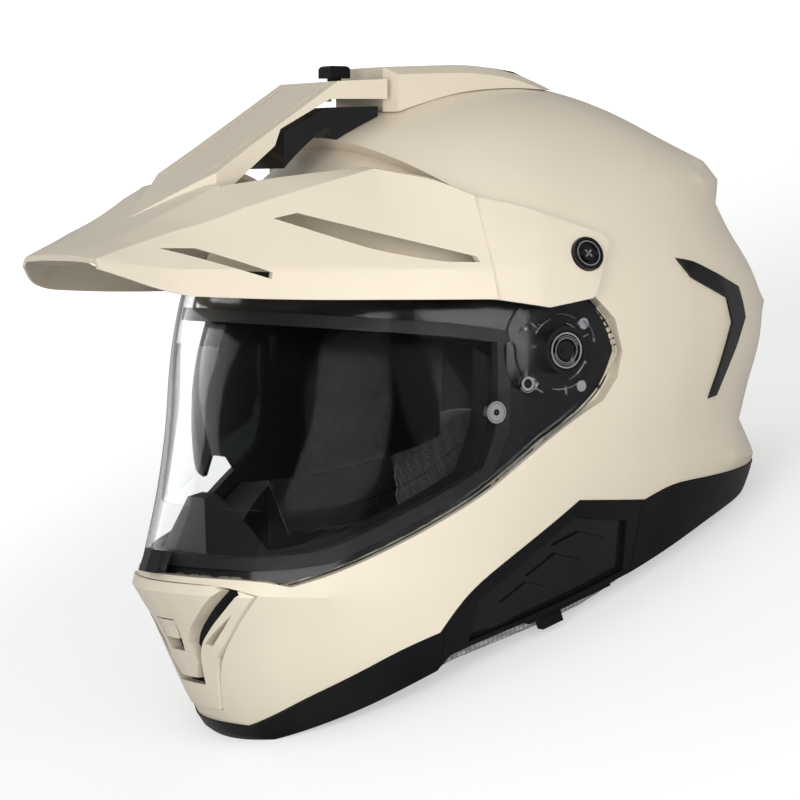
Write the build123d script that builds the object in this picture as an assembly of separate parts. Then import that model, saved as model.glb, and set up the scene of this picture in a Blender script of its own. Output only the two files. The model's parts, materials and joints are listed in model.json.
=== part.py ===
from build123d import *
import os
from math import sin, cos, tan, radians, pi

# Dual sport helmet. Worn frame: X to the wearer's left, Y to the rear, Z up, and the
# origin midway on the axis that the face shield turns on. The last lines stand it on its rim.

# Driving sizes, millimetres and degrees
shellHalf = 127.0        # half the width of the shell
headReach = 100.0        # pivot axis forward to the brow; every Y share follows it
headRise = 100.0         # pivot axis up to the crown of the head; every Z share follows it
eyeHalf = 100.0          # midplane to the side of the eyeport; every X share follows it
rimPitch = 24.0          # slope of the rim plane in the worn frame

shellWall = 3.4
recessDepth = 7.4        # the shield's recess, below the shell's skin
shieldSink = 1.0         # the shield's outer face, below the shell's skin
shieldWall = 2.2
trimProud = 0.6
trimWall = 8.0
linerWall = 27.0         # foam from the shell's inner face to the pads
padWall = 9.0
fitGap = 0.3             # between pieces fixed on each other
runGap = 0.8             # between pieces that move past each other
over = 20.0              # overrun of a cut past what it cuts
span = 400.0             # longer than the helmet every way

shieldTravel = 38.0      # degrees from shut to open
visorTravel = 30.0
pivotRadius = 8.6
pivotHole = 9.4

# The skin of the shell, level by level: height, front, rear, half width, exponent of the
# front curve, exponent of the rear curve, and where the two curves meet
skinShares = [
    (1.273, 0.26, 0.44, 0.071, 2.00, 2.00, 0.35),
    (1.260, 0.10, 0.56, 0.189, 2.00, 2.00, 0.34),
    (1.210, -0.18, 0.76, 0.346, 2.00, 2.00, 0.32),
    (1.120, -0.42, 0.99, 0.496, 2.05, 2.10, 0.30),
    (1.000, -0.66, 1.22, 0.630, 2.10, 2.15, 0.28),
    (0.890, -0.81, 1.47, 0.724, 2.10, 2.20, 0.25),
    (0.800, -0.90, 1.53, 0.787, 2.15, 2.25, 0.22),
    (0.680, -1.00, 1.47, 0.854, 2.15, 2.30, 0.20),
    (0.550, -1.08, 1.52, 0.906, 2.15, 2.30, 0.18),
    (0.380, -1.16, 1.66, 0.953, 2.20, 2.30, 0.16),
    (0.200, -1.21, 1.73, 0.984, 2.20, 2.30, 0.14),
    (0.000, -1.25, 1.71, 1.000, 2.20, 2.30, 0.12),
    (-0.200, -1.28, 1.62, 1.000, 2.15, 2.30, 0.10),
    (-0.380, -1.30, 1.58, 0.988, 2.10, 2.30, 0.08),
    (-0.560, -1.34, 1.70, 0.965, 2.05, 2.30, 0.06),
    (-0.750, -1.39, 1.63, 0.933, 2.00, 2.30, 0.03),
    (-0.950, -1.46, 1.50, 0.894, 1.95, 2.20, 0.00),
    (-1.140, -1.53, 1.40, 0.858, 1.90, 2.20, -0.06),
    (-1.320, -1.42, 1.30, 0.823, 1.80, 2.10, -0.20),
    (-1.500, -1.34, 1.10, 0.756, 1.75, 2.00, -0.36),
    (-1.680, -1.26, 0.80, 0.646, 1.75, 2.00, -0.52),
    (-1.840, -1.16, 0.50, 0.504, 1.80, 2.00, -0.68),
    (-1.960, -0.95, 0.20, 0.362, 1.90, 2.00, -0.75),
]
skinPoints = 36
eyeCorner = 4.0
headMiddleShare = (0.0, 0.10, -0.10)

# Side outlines, each point a share of headReach and of headRise
chinFootShare = (-1.16, -1.898)
chinFootRearShare = -1.06
rearFootShares = (1.46, 1.56)
rimArchShares = [(-0.93, 0.026), (-0.50, 0.110), (-0.45, 0.160), (-0.35, 0.167),
                 (0.10, 0.117), (0.60, 0.074), (1.08, 0.070), (1.38, 0.020)]
trimTopShares = [(-2.00, -1.82), (-1.20, -1.79), (-1.13, -1.79), (-1.02, -1.64),
                 (-0.68, -1.39), (-0.51, -1.31), (-0.39, -1.11), (0.13, -0.705),
                 (0.52, -0.72), (0.68, -0.65), (1.61, -0.586), (2.20, -0.55)]
eyeportShares = [(-2.00, 0.24), (-1.30, 0.19), (-0.50, 0.13), (-0.25, 0.095),
                 (-0.25, -0.37), (-0.31, -0.58), (-0.50, -0.71), (-0.97, -0.99),
                 (-1.22, -1.03), (-2.00, -1.03)]
shieldShares = [(-2.00, 0.36), (-1.10, 0.36), (-0.50, 0.31), (0.05, 0.29), (0.18, 0.24),
                (0.27, 0.13), (0.30, -0.01), (0.235, -0.17), (0.10, -0.285),
                (-0.125, -0.44), (-0.35, -0.645), (-0.56, -0.785), (-0.775, -0.915),
                (-0.99, -1.03), (-1.14, -1.085), (-1.25, -1.06), (-2.00, -1.06)]
recessShares = [(-2.00, 1.50), (-0.86, 1.14), (-0.66, 0.985), (-0.19, 0.575), (0.05, 0.335),
                (0.187, 0.249), (0.281, 0.135), (0.312, -0.01), (0.283, -0.132),
                (0.209, -0.232)] + shieldShares[8:]
wingShares = [(-0.41, 0.75), (-0.34, 0.71), (-0.15, 0.67), (0.02, 0.61),
              (0.24, 0.54), (0.28, 0.50), (0.22, 0.39), (0.17, 0.27), (0.14, 0.24),
              (-0.09, 0.20), (-0.35, 0.24), (-0.41, 0.24)]
intercomShares = [(-0.37, -1.355), (-0.34, -1.165), (0.11, -0.79), (0.42, -0.82),
                  (0.45, -1.06), (0.10, -1.19)]
sideExhaustShares = [(0.70, 0.42), (0.80, 0.41), (1.15, 0.28), (1.19, 0.13), (0.96, -0.24),
                     (0.90, -0.25), (1.07, 0.11), (1.03, 0.23), (0.78, 0.33)]

# Peak: half sections (x, z), from the middle out, as shares of eyeHalf and headRise
peakDeckShares = [
    (-1.98, [(0.20, 0.440), (0.39, 0.425), (0.41, 0.405), (0.425, 0.380)]),
    (-1.90, [(0.22, 0.480), (0.42, 0.460), (0.50, 0.410), (0.560, 0.340)]),
    (-1.81, [(0.25, 0.520), (0.45, 0.490), (0.61, 0.390), (0.700, 0.290)]),
    (-1.69, [(0.29, 0.580), (0.52, 0.540), (0.72, 0.380), (0.770, 0.260)]),
    (-1.48, [(0.36, 0.700), (0.61, 0.605), (0.79, 0.380), (0.840, 0.250)]),
    (-1.35, [(0.39, 0.765), (0.65, 0.660), (0.83, 0.380), (0.880, 0.245)]),
]
peakWingShares = [
    (-1.35, [(0.42, 0.760), (0.65, 0.660), (0.83, 0.380), (0.880, 0.245)]),
    (-1.09, [(0.57, 0.805), (0.70, 0.740), (0.92, 0.380), (0.960, 0.240)]),
    (-0.72, [(0.67, 0.850), (0.74, 0.840), (1.07, 0.380), (1.110, 0.240)]),
    (-0.50, [(0.85, 0.805), (0.91, 0.790), (1.15, 0.380), (1.190, 0.240)]),
    (-0.35, [(0.97, 0.730), (1.03, 0.715), (1.20, 0.380), (1.240, 0.240)]),
]
spineTopShares = [(-1.66, 0.595), (-1.18, 0.915), (-0.66, 1.26), (-0.39, 1.275)]
spineFootShares = [(-0.39, 1.18), (-0.70, 1.175), (-0.97, 1.03), (-1.00, 0.95),
                   (-1.28, 0.72), (-1.50, 0.62)]
spinePlanShares = [(-0.29, -0.30), (0.29, -0.30), (0.29, -1.15), (0.31, -1.32),
                   (0.22, -1.40), (0.00, -1.66), (-0.22, -1.40), (-0.31, -1.32),
                   (-0.29, -1.15)]
longSlotShares = [(-1.24, 0.61), (-1.13, 0.635), (-0.41, 0.435), (-0.40, 0.41),
                  (-0.57, 0.41), (-0.84, 0.465)]
shortSlotShares = [(-1.74, 0.475), (-1.60, 0.475), (-1.31, 0.365), (-1.32, 0.335)]

peakWall = 2.8
peakLift = 1.6           # wing's inner face, outside the shell's skin
insetShares = [(0, -1), (-0.6, -0.8), (-1, -0.2), (-1, 0)]
slotStartShare = 0.5
screwPlaceShare = (0.14, 0.43)
screwRadius = 8.0
screwHead = 2.4
screwShank = 3.0
slotGroove = 2.2

# Sun visor: turned about its own axis; profile (x, radius) shares of eyeHalf and headReach
visorAxisShare = (0.43, -0.38)
visorProfileShares = [(0.0, 1.60), (0.20, 1.585), (0.40, 1.535), (0.60, 1.425),
                      (0.80, 1.210), (0.92, 0.985), (0.985, 0.79), (1.03, 0.55), (1.05, 0.00)]
visorWall = 2.0
visorOutlineShares = [(-2.00, 0.28), (-0.80, 0.27), (-0.30, 0.20), (0.05, 0.02),
                      (0.50, -0.27), (0.54, -0.38), (0.50, -0.46), (0.40, -0.49),
                      (0.32, -0.44), (-0.05, -0.17), (-0.32, 0.02), (-0.46, 0.00),
                      (-0.485, -0.40), (-0.58, -0.45), (-1.21, -0.665), (-2.00, -0.665)]
visorPocketShares = [(0.00, 1.565), (0.20, 1.55), (0.40, 1.50), (0.60, 1.385),
                     (0.79, 1.165), (0.90, 0.945), (0.965, 0.75), (1.005, 0.55), (1.01, 0.00),
                     (1.09, 0.00), (1.09, 0.90), (1.40, 1.00), (1.40, 2.20), (0.00, 2.20)]
visorNoseShares = [(0.26, -0.70), (0.08, -0.525), (-0.08, -0.525), (-0.26, -0.70)]

# Crown fairing, vents and slider
fairingTopShares = [(-0.38, 0.80), (-0.38, 1.335), (0.13, 1.358), (0.36, 1.325), (0.80, 1.15),
                    (0.80, 0.80)]
fairingHalf = 31.0
fairingDraft = 4.0
intakeShares = [(-0.93, 0.80), (-0.93, 1.015), (-0.70, 1.135), (-0.42, 1.145), (-0.42, 0.80)]
intakeHalf = 25.0
exhaustShares = [(0.06, 1.20), (0.06, 1.295), (0.34, 1.36), (0.40, 1.36), (0.40, 1.20)]
exhaustInner = 9.0
exhaustOuter = 22.0
knobLength = 11.0
knobWidth = 12.0
knobRise = 6.0
knobCorner = 2.0
sweptShare = 1.256
sweptTurn = 56.5
knobTravel = 8.0
knobPlaceShare = -0.52

# Soft pieces
cheekShares = [(-0.70, -0.40), (-0.74, -0.80), (-0.50, -1.10), (0.02, -1.03), (0.36, -0.86),
               (0.40, -0.50), (0.10, -0.28), (-0.35, -0.26)]
cheekInner = 63.0
cheekMiddle = 78.0
cheekOuter = 96.0
channelWidth = 4.0
channelDepth = 4.0
neckHalf = 84.0
neckFrontShare = -0.90
neckRearShare = 1.16
neckRollRise = 24.0
strapWidth = 24.0
strapWall = 2.2
ringWire = 1.7
ringClear = 1.2

seamShares = (-0.49, 0.50)
coverSink = 2.0
coverWall = 1.6
ribRise = 1.2
coverRibShares = [
    [(-0.22, -1.18), (-0.10, -1.09), (0.02, -1.12), (-0.08, -1.17)],
    [(-0.10, -1.06), (0.04, -0.96), (0.20, -1.00), (0.06, -1.05)],
    [(0.02, -0.92), (0.16, -0.86), (0.32, -0.90), (0.18, -0.93)],
]
exhaustProud = 1.2
exhaustDepth = 2.4
rearShares = [(0.30, 0.42), (0.46, 0.22), (0.44, -0.12), (0.30, -0.30), (-0.30, -0.30),
              (-0.44, -0.12), (-0.46, 0.22), (-0.30, 0.42)]
spineSteepShare = 1.2
railSlitShares = [(0.20, -1.34), (0.235, -1.34), (0.235, -0.66), (0.20, -0.66)]
screwLean = 19.0
screwSink = 1.4
screwReach = 7.0
screwBoss = 3.6
rimGroove = 1.2
knobStem = 5.0
knobSink = 8.0
gasketWall = 5.4
gasketWidth = 6.0
frameLift = 1.6
baseRadius = 27.0
capRadius = 11.0
capWall = 1.2
guidePlaceShare = (-0.20, -0.15)
guideRadius = 3.0
guideFlange = 4.5
guideFlangeLift = 1.2
guideDepth = 6.4
antiFogPlaceShare = (-0.35, -0.28)
antiFogRadius = 3.4
antiFogFlange = 5.1
antiFogFlangeLift = 1.9
pinHead = 1.1
antiFogShares = [(-2.00, 0.02), (-0.55, -0.02), (-0.45, -0.20), (-0.47, -0.42), (-0.62, -0.58),
                 (-0.95, -0.74), (-2.00, -0.78)]
antiFogWall = 0.7
tabHalf = 9.0
tabReach = 6.0
tabHeight = 13.0
tabPlaceShare = -1.02
baseScrewShares = [(0.14, 0.12), (0.12, -0.17)]
baseScrewRadius = 2.6
baseScrewDepth = 6.4
baseScrewProud = 0.4
noseGuardShares = [(-1.35, -1.025), (-1.27, -0.72), (-1.20, -0.70), (-1.04, -0.88), (-1.00, -0.99),
                   (-1.22, -1.025)]
noseGuardHalf = 26.0
noseGuardTip = 7.0
noseGuardNotch = 2.7
chinSplitShare = -0.55
curtainShares = (-1.06, -0.62)
strapPathShares = [(0.825, -0.72), (0.815, -0.90), (0.60, -1.08), (0.34, -1.13)]
strapRearShare = 0.12
anchorWall = 1.5
rivetRadius = 4.0
ringWidth = 36.0
ringLength = 22.0
pocketLow = 17.0
pocketHigh = 80.0
visorLow = 40.0
visorHigh = 62.0
visorRound = 1.2
visorSpill = 1.0
visorPin = 4.0
trimLip = 5.0
crownFloorShare = 0.10
channelShares = (-0.34, 0.34)
cheekDrawShares = (0.84, 1.00, 0.92)
curtainWall = 1.6
curtainRise = 10.0
chinHoleShares = [(0.47, -1.10), (0.59, -1.14), (0.27, -1.46), (0.15, -1.72)]
chinOpenShares = [(0.51, -1.09), (0.535, -1.135), (0.22, -1.385), (0.17, -1.46), (0.13, -1.60)]
chinNoseShares = [(0.40, -1.09), (0.45, -1.12), (0.17, -1.33), (0.12, -1.40), (0.13, -1.50),
                  (0.08, -1.57)]
chinSlotShares = [(0.455, -1.235), (0.43, -1.26), (0.28, -1.40), (0.235, -1.39)]
chinButtonShares = [(0.085, -1.29), (0.065, -1.38)]
chinProud = 0.8
chinWall = 3.0
meshWall = 1.0
ventTravel = 6.0
ventPathShare = (0.43, -0.90)
pipingDrop = 3.5
pipingWall = 3.4
pipingShares = (-0.44, 1.18)
leverShare = (1.01, 0.06, -1.235)
leverSlope = 19.5
leverTravel = 24.0
leverLength = 12.0
leverWidth = 5.0
leverHeight = 5.0
trackWall = 2.0
ringCorner = 4.5
snapRadius = 6.0
snapWall = 2.0
discRadius = 60.0
rivetShare = -0.81
rivetWall = 1.4
rivetShank = 3.0
rivetReach = 100.0
rivetStop = 1.8
loopHalf = 3.4
chinTopShare = -0.25


def at(share):
    return (share[0] * headReach, share[1] * headRise)


def rimHeight(share):
    # height of the rim plane over a Y share
    foot = at(chinFootShare)
    return foot[1] + (share * headReach - foot[0]) * tan(radians(rimPitch))


def rimLine(lift=0.0):
    # the arched rim edge, front to rear, raised by lift
    line = [(chinFootShare[0], 0.0), (chinFootRearShare, 0.0)] + rimArchShares
    line += [(share, 0.0) for share in rearFootShares]
    points = [(y * headReach, rimHeight(y) + rise * headRise + lift) for y, rise in line]
    first, last = points[0], points[-1]
    slope = tan(radians(rimPitch))
    points.insert(0, (first[0] - span, first[1] - span * slope))
    points.append((last[0] + span, last[1] + span * slope))
    return points


def sideFace(points, corner=0.0):
    face = make_face(Polyline([(0, y, z) for y, z in points], close=True))
    if corner:
        face = fillet(face.vertices(), corner)
    return face


def sidePrism(shares, grow=0.0, corner=0.0, start=None, end=None):
    # a side outline run through the helmet, or from X = start to X = end
    face = sideFace([at(share) for share in shares], corner)
    if grow:
        face = offset(face, amount=grow, kind=Kind.INTERSECTION)
    if start is None:
        return extrude(face, amount=span, dir=(1, 0, 0), both=True)
    return Pos(start, 0, 0) * extrude(face, amount=end - start, dir=(1, 0, 0))


def aboveRim(lift=0.0):
    points = rimLine(lift)
    face = sideFace(points + [(points[-1][0], span), (points[0][0], span)])
    return extrude(face, amount=span, dir=(1, 0, 0), both=True)


def rimStretch(lift, start, end):
    # the rim edge raised by lift, from Y = start to Y = end
    points = rimLine(lift)
    ends = []
    for y in (start, end):
        for (y0, z0), (y1, z1) in zip(points, points[1:]):
            if y0 <= y < y1:
                ends.append((y, z0 + (z1 - z0) * (y - y0) / (y1 - y0)))
    return ends[:1] + [point for point in points if start < point[0] < end] + ends[1:]


def rimBand(low, high, ends):
    # the strip from low to high above the rim edge, between two Y shares
    start, end = [share * headReach for share in ends]
    face = sideFace(rimStretch(low, start, end) + rimStretch(high, start, end)[::-1])
    return extrude(face, amount=span, dir=(1, 0, 0), both=True)


def planPrism(shares, low, high):
    face = make_face(Polyline([(x * eyeHalf, y * headReach, 0) for x, y in shares], close=True))
    return Pos(0, 0, low) * extrude(face, amount=high - low, dir=(0, 0, 1))


def block(x0, x1, y0, y1, z0, z1):
    return Pos((x0 + x1) / 2, (y0 + y1) / 2, (z0 + z1) / 2) * Box(x1 - x0, y1 - y0, z1 - z0)


def level(row):
    # one closed level of the skin
    height, front, rear, half, bowFront, bowRear, meet = row
    points = []
    for step in range(skinPoints):
        turn = 2 * pi * step / skinPoints
        across, along = sin(turn), -cos(turn)
        if step in (0, skinPoints // 2):
            across = 0.0
        bow = bowFront if along < 0 else bowRear
        reach = (meet - front) if along < 0 else (rear - meet)
        x = shellHalf * half * abs(across) ** (2 / bow) * (1 if across >= 0 else -1)
        y = headReach * (meet + reach * abs(along) ** (2 / bow) * (1 if along >= 0 else -1))
        points.append(Vector(x, y, height * headRise))
    return points


def facet(*points):
    return Face(Wire.make_polygon(points, close=True))


def facetedSkin():
    # flat facets between the levels, alike on the left and the right
    levels = [level(row) for row in skinShares[::-1]]
    faces = [facet(*levels[0]), facet(*levels[-1])]
    for lower, upper in zip(levels, levels[1:]):
        for step in range(skinPoints):
            near, far = step, (step + 1) % skinPoints
            if step < skinPoints // 2:
                faces.append(facet(lower[near], lower[far], upper[far]))
                faces.append(facet(lower[near], upper[far], upper[near]))
            else:
                faces.append(facet(lower[near], lower[far], upper[near]))
                faces.append(facet(lower[far], upper[far], upper[near]))
    return Solid(Shell(faces))


skin = facetedSkin()
headMiddle = Vector(0, headMiddleShare[1] * headReach, headMiddleShare[2] * headRise)


def hull(grow=0.0):
    # the skin moved out by grow at the ears, and in proportion elsewhere
    factor = 1 + grow / shellHalf
    return Pos(headMiddle) * scale(Pos(-headMiddle) * skin, by=factor)


def mirrored(piece):
    return mirror(piece, about=Plane.YZ)


def solids(shape):
    return [one for one in shape.solids()]


def biggest(shape, count=1):
    return Compound(sorted(solids(shape), key=lambda one: -one.volume)[:count])


def left(shape):
    return shape & block(0, span, -span, span, -span, span)



def skinX(y, z):
    # half width of the skin at a side point, read between two levels
    height = z / headRise
    rows = sorted(skinShares)
    for low, high in zip(rows, rows[1:]):
        if low[0] <= height <= high[0]:
            part = (height - low[0]) / (high[0] - low[0])
            front, rear, half, bowFront, bowRear, meet = [
                a + (b - a) * part for a, b in zip(low[1:], high[1:])]
            along = y / headReach - meet
            reach, bow = (meet - front, bowFront) if along < 0 else (rear - meet, bowRear)
            return shellHalf * half * (1 - min(1, abs(along) / reach) ** bow) ** (1 / bow)
    return 0.0


def pinX(place, radius, inner, outer):
    # a cylinder along X at a side point, from inner to outer, measured out of the skin
    y, z = at(place)
    x = skinX(y, z)
    turned = Plane(origin=(x + inner, y, z), x_dir=(0, 1, 0), z_dir=(1, 0, 0))
    return turned * Cylinder(radius, outer - inner, align=(Align.CENTER, Align.CENTER, Align.MIN))


pieces = {}

# Shell: the skin, sunk where the shield lies, hollowed, with the eyeport and the rim open
wall = hull(0) - sidePrism(recessShares, grow=runGap)
wall = wall + (hull(-recessDepth) & sidePrism(recessShares, grow=runGap + fitGap))
cavity = hull(-shellWall - recessDepth)
upper = hull(-shellWall) - sidePrism(recessShares, grow=runGap + shellWall)
shell = wall - cavity - upper
shell = shell - sidePrism(eyeportShares, corner=eyeCorner)

# Trims round the rim, and the intercom covers in the side trims
trimRing = hull(trimProud) - hull(-trimWall)
trimRing = trimRing & aboveRim()
topLine = [at(share) for share in trimTopShares]
belowTrim = extrude(sideFace([(y, z) for y, z in topLine]
                             + [(topLine[-1][0], -span), (topLine[0][0], -span)]),
                    amount=span, dir=(1, 0, 0), both=True)
trims = trimRing & (Pos(0, 0, -fitGap) * belowTrim)
frontSeam = seamShares[0] * headReach
rearSeam = seamShares[1] * headReach
pieces["front_lower_trim"] = biggest(trims & block(-span, span, -span, frontSeam, -span, span))
pieces["rear_lower_trim"] = biggest(trims & block(-span, span, rearSeam + fitGap, span, -span, span))
sideTrim = biggest(left(trims & block(-span, span, frontSeam + fitGap, rearSeam, -span, span)))
pocket = sidePrism(intercomShares, grow=fitGap, start=0, end=span) - hull(-coverSink - coverWall - fitGap)
pieces["side_trim_left"] = biggest(sideTrim - pocket)
coverSkin = hull(-coverSink) - hull(-coverSink - coverWall)
cover = coverSkin & sidePrism(intercomShares, start=0, end=span)
ribSkin = hull(-coverSink + ribRise) - hull(-coverSink - coverWall / 2)
for ribShares in coverRibShares:
    cover = cover + (ribSkin & sidePrism(ribShares, start=0, end=span))
pieces["intercom_cover_left"] = biggest(cover)
for name in ("side_trim", "intercom_cover"):
    pieces[name + "_right"] = mirrored(pieces[name + "_left"])

# Exhausts at the sides and the back, seated in pockets of the shell
exhaustSkin = hull(exhaustProud) - hull(-exhaustDepth)
sideExhaust = biggest(exhaustSkin & sidePrism(sideExhaustShares, start=0, end=span))
pieces["side_exhaust_left"] = sideExhaust
pieces["side_exhaust_right"] = mirrored(sideExhaust)
rearPrism = (extrude(make_face(Polyline([(x * eyeHalf, 0, z * headRise) for x, z in rearShares],
                                        close=True)), amount=span, dir=(0, 1, 0)))
pieces["rear_exhaust"] = biggest(exhaustSkin & rearPrism)

# Peak: a deck and two wings of straight facets, open below, and a hollow spine
def peakSection(y, shares, side=0):
    # outer points, middle to edge, then the inner points back
    outer = [(x * eyeHalf, z * headRise) for x, z in shares]
    inner = [(x + peakWall * a, z + peakWall * b)
             for (x, z), (a, b) in zip(outer, insetShares)]
    if side:
        ring = outer + inner[::-1]
    else:
        ring = ([(-x, z) for x, z in outer[::-1]] + outer + inner[::-1]
                + [(-x, z) for x, z in inner])
    return Wire(Polyline([(x, y * headReach, z) for x, z in ring], close=True))


deck = Solid.make_loft([peakSection(y, shares) for y, shares in peakDeckShares], ruled=True)
wing = Solid.make_loft([peakSection(y, shares, 1) for y, shares in peakWingShares], ruled=True)
spineLine = [at(share) for share in spineTopShares + spineFootShares]
hollowLine = [(y, z - peakWall * spineSteepShare) for y, z in
              [at(share) for share in spineTopShares]]
hollowLine = [(hollowLine[0][0] - span, hollowLine[0][1] - span)] + hollowLine
hollowLine[-1] = (hollowLine[-1][0] + over, hollowLine[-1][1])
hollowLine += [(hollowLine[-1][0], hollowLine[0][1])]
spineHalf = spinePlanShares[1][0] * eyeHalf
spine = extrude(sideFace(spineLine), amount=span, dir=(1, 0, 0), both=True)
spine = spine & planPrism(spinePlanShares, 0, span)
hollow = extrude(sideFace(hollowLine), amount=spineHalf - peakWall, dir=(1, 0, 0), both=True)
spine = spine - hollow
wingSkin = hull(peakLift + peakWall) - hull(peakLift)
flank = biggest(left(wingSkin & sidePrism(wingShares)))
side = biggest(wing - hull(peakLift)) + flank
peak = deck + side + mirrored(side) + spine
slotStart = slotStartShare * eyeHalf
for slotShares in (longSlotShares, shortSlotShares):
    for start, end in ((slotStart, span), (-span, -slotStart)):
        peak = peak - sidePrism(slotShares, start=start, end=end)
for slitShares in (railSlitShares, [(-x, y) for x, y in railSlitShares]):
    peak = peak - planPrism(slitShares, 0, span)

# Side screws turn a quarter about the wing's own slope
screwY, screwZ = at(screwPlaceShare)
screwX = skinX(screwY, screwZ)
screwTilt = radians(screwLean)
screwOut = Vector(cos(screwTilt), 0, sin(screwTilt))


def screwPlane(out):
    return Plane(origin=Vector(screwX, screwY, screwZ) + screwOut * out,
                 x_dir=(0, 1, 0), z_dir=screwOut)


def onScrew(out, radius, length):
    stack = (Align.CENTER, Align.CENTER, Align.MIN)
    return screwPlane(out) * Cylinder(radius, length, align=stack)


headSeat = peakLift + peakWall - screwSink
screw = onScrew(headSeat + fitGap, screwRadius, screwHead)
screw = screw - onScrew(headSeat + screwHead - rimGroove, screwRadius - rimGroove, over)
screw = screw + onScrew(headSeat + fitGap, screwBoss, screwHead)
bar = screwPlane(headSeat + fitGap) * Box(screwRadius * 2 - fitGap, slotGroove, screwHead,
                                         align=(Align.CENTER, Align.CENTER, Align.MIN))
screw = screw + (bar & onScrew(headSeat, screwRadius, screwHead))
screw = screw + onScrew(headSeat - screwReach, screwShank, screwReach + fitGap * 2)
seat = onScrew(headSeat, screwRadius + fitGap * 2, over) + onScrew(-over, screwShank + fitGap, over * 2)
pieces["peak_screw_left"] = screw
pieces["peak_screw_right"] = mirrored(screw)
peak = peak - seat - mirrored(seat)
shellBores = onScrew(-over, screwShank + fitGap, over * 2)
pieces["peak"] = biggest(peak)

# Crown fairing, its exhausts, the intake under the spine and the slider's knob
fairFace = sideFace([at(share) for share in fairingTopShares])
fairEdge = offset(fairFace, amount=-fairingDraft, kind=Kind.INTERSECTION)
half = extrude(fairFace, amount=fairingHalf - fairingDraft * 2, dir=(1, 0, 0))
slope = Solid.make_loft([(Pos(fairingHalf - fairingDraft * 2, 0, 0) * fairFace).wire(),
                         (Pos(fairingHalf, 0, 0) * fairEdge).wire()], ruled=True)
half = half + slope
fairing = biggest((half + mirrored(half)) - hull(fitGap))
exhaust = sidePrism(exhaustShares, start=exhaustInner, end=exhaustOuter)
exhaust = exhaust - hull(fitGap)
room = sidePrism(exhaustShares, grow=fitGap, start=exhaustInner - fitGap, end=exhaustOuter + fitGap)
crownExhaust = biggest(exhaust & (fairing & exhaust))
fairing = fairing - room - mirrored(room)
pieces["crown_fairing"] = biggest(fairing)
pieces["crown_exhaust_left"] = crownExhaust
pieces["crown_exhaust_right"] = mirrored(crownExhaust)
intake = sidePrism(intakeShares, start=-intakeHalf, end=intakeHalf) - hull(fitGap)
swept = [(0.0, 0.0)]
for step in range(skinPoints + 1):
    turn = radians(sweptTurn * step / skinPoints)
    swept.append((-sweptShare * cos(turn), sweptShare * sin(turn)))
intake = intake - sidePrism(swept)
pieces["crown_vent_intake"] = biggest(intake)
knobY = knobPlaceShare * headReach
knobZ = max(z for y, z in spineLine) + runGap
knob = block(-knobWidth / 2, knobWidth / 2, knobY - knobLength / 2, knobY + knobLength / 2,
             knobZ, knobZ + knobRise)
knob = fillet(knob.edges().group_by(Axis.Z)[-1], knobCorner)
stem = block(-knobStem / 2, knobStem / 2, knobY - knobStem / 2, knobY + knobStem / 2,
             knobZ - knobSink, knobZ)
track = block(-knobStem / 2 - runGap, knobStem / 2 + runGap, knobY - knobStem / 2 - runGap,
              knobY + knobStem / 2 + knobTravel + runGap, knobZ - over, knobZ + over)
pieces["crown_vent_slider"] = knob + stem
pieces["peak"] = biggest(pieces["peak"] - track)

# Face shield, and what it turns on
shieldSkin = hull(-shieldSink) - hull(-shieldSink - shieldWall)
shield = shieldSkin & sidePrism(shieldShares)
middle = (0.0, 0.0)
bores = [pinX(middle, pivotHole, -over, over), pinX(guidePlaceShare, guideRadius + fitGap, -over, over),
         pinX(antiFogPlaceShare, antiFogRadius + fitGap, -over, over)]
for bore in bores:
    shield = shield - bore - mirrored(bore)
pieces["face_shield"] = biggest(shield)
inner = -shieldSink - shieldWall
guide = pinX(guidePlaceShare, guideRadius, -guideDepth, -shieldSink)
flange = -shieldSink + guideFlangeLift
guide = guide + pinX(guidePlaceShare, guideFlange, flange, flange + pinHead)
guide = guide + pinX(guidePlaceShare, guideRadius, -shieldSink, flange + pinHead)
fog = pinX(antiFogPlaceShare, antiFogRadius, inner - pinHead, -shieldSink)
flange = -shieldSink + antiFogFlangeLift
fog = fog + pinX(antiFogPlaceShare, antiFogFlange, flange, flange + pinHead)
fog = fog + pinX(antiFogPlaceShare, antiFogRadius, -shieldSink, flange + pinHead)
pieces["shield_guide_pins"] = Compound([guide.solid(), mirrored(guide).solid()])
pieces["anti_fog_pins"] = Compound([fog.solid(), mirrored(fog).solid()])
lensSkin = hull(inner - fitGap) - hull(inner - fitGap - antiFogWall)
pieces["anti_fog_lens"] = biggest(lensSkin & sidePrism(antiFogShares))
tabZ = tabPlaceShare * headRise
tabBox = block(-tabHalf, tabHalf, -span, 0, tabZ - tabHeight / 2, tabZ + tabHeight / 2)
tab = (hull(-shieldSink + fitGap + tabReach) - hull(-shieldSink + fitGap)) & tabBox
pieces["shield_tab"] = biggest(tab & sidePrism(shieldShares))

# The bezel in the recess, the plates that the pivots stand on, and the gasket
frameSkin = hull(-recessDepth + frameLift) - hull(-recessDepth + fitGap)
disc = pinX(middle, baseRadius + fitGap, -over, over)
frame = frameSkin & sidePrism(shieldShares)
frame = frame - sidePrism(eyeportShares, grow=fitGap) - disc - mirrored(disc)
frame = frame - block(-span, span, -span, 0, 0, span)
base = frameSkin & pinX(middle, baseRadius, -over, over) & sidePrism(shieldShares, grow=-fitGap)
base = base - sidePrism(eyeportShares, grow=fitGap)
steps = 4
for step in range(steps + 1):
    arc = pinX(guidePlaceShare, guideRadius + runGap, -over, over)
    arc = Rot(X=-shieldTravel * step / steps) * arc
    base = base - arc
    frame = frame - arc - mirrored(arc)
pieces["eyeport_frame"] = biggest(frame)
screws = []
for place in baseScrewShares:
    base = base - pinX(place, baseScrewRadius + fitGap, -over, over)
    screws.append(pinX(place, baseScrewRadius, -baseScrewDepth,
                       -recessDepth + frameLift + baseScrewProud))
pieces["pivot_base_left"] = biggest(base)
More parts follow.
